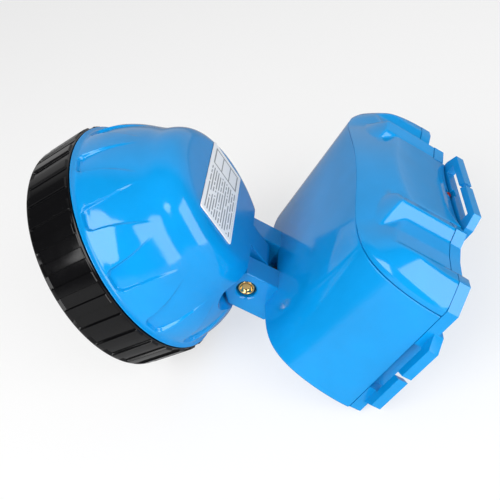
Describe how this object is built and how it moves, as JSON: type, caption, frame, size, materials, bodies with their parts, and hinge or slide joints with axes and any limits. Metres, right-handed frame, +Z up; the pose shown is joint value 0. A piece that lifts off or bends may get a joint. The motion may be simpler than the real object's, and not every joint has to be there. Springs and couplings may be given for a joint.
{
  "type": "miner's cap lamp",
  "caption": "Cordless miner's cap lamp: a round tilting lamp head with ribbed bezel, hinged between two ears to a D-shaped battery box with split strap loops.",
  "frame": {"origin": "centre of the footprint of the whole lamp's bounding box, on the surface it stands on", "axes": "+X along the hinge axis, towards the side with the hinge screw's head; -Y the way the beam points; +Z up. The lamp stands as it does on a table, on the bezel's lowest edge and the battery box's rear bottom edge."},
  "size_m": [0.1184, 0.1472, 0.0905],
  "materials": {
    "head_shell": "glossy moulded bright blue plastic",
    "box_shell": "glossy moulded bright blue plastic",
    "bezel": "satin black plastic",
    "lens": "clear polished",
    "gasket": "matt black rubber",
    "reflector": "mirror bright metallised inside",
    "heat_sink": "turned aluminium",
    "led_board": "white solder mask",
    "led_emitter": "clear dome over yellow phosphor",
    "switch_rubber": "soft black rubber",
    "black_plastic": "satin black plastic",
    "grey_plastic": "dark grey plastic",
    "label": "plain printed sticker, no lettering",
    "hinge_brass": "bright brass",
    "steel": "plated steel",
    "cell_sleeve": "shrink sleeve",
    "board": "green circuit board",
    "led_red": "red tinted epoxy"
  },
  "bodies": {
    "battery_box": {"front_shell": "box_shell", "top_cap": "box_shell", "back_plate": "box_shell", "battery_cell_lower": "cell_sleeve", "battery_cell_upper": "cell_sleeve", "cell_holder": "grey_plastic", "contact_strip_near": "steel", "contact_strip_far": "steel", "charger_board": "board", "charge_led": "led_red", "charge_socket": "black_plastic", "lamp_lead": "gasket", "hinge_screw": "hinge_brass", "hinge_nut": "hinge_brass", "hinge_washer_near": "steel", "hinge_washer_far": "steel", "plate_screw_1": "steel", "plate_screw_2": "steel", "plate_screw_3": "steel", "plate_screw_4": "steel"},
    "lamp_head": {"head_housing": "head_shell", "lens": "lens", "lens_gasket": "gasket", "reflector": "reflector", "heat_sink": "heat_sink", "led_board": "led_board", "led_emitter": "led_emitter", "switch_body": "grey_plastic", "switch_collar": "black_plastic", "rear_label": "label"},
    "bezel": {"bezel_ring": "bezel"},
    "button": {"switch_button": "switch_rubber"}
  },
  "joints": [
    {"name": "head_tilt", "type": "hinge", "parent": "battery_box", "child": "lamp_head", "pos_m": [0, -0.0093, 0.02857], "axis": [1, 0, 0], "range_deg": [-61, 29]},
    {"name": "bezel_turn", "type": "hinge", "parent": "lamp_head", "child": "bezel", "pos_m": [0, -0.05169, 0.04474], "axis": [0, -0.9583, -0.2856], "range_deg": [0, 90]},
    {"name": "switch_press", "type": "slide", "parent": "lamp_head", "child": "button", "axis": [1, 0, 0], "range_m": [0, 0.0012], "stiffness_N_per_m": 900, "springref_m": -0.0006}
  ]
}
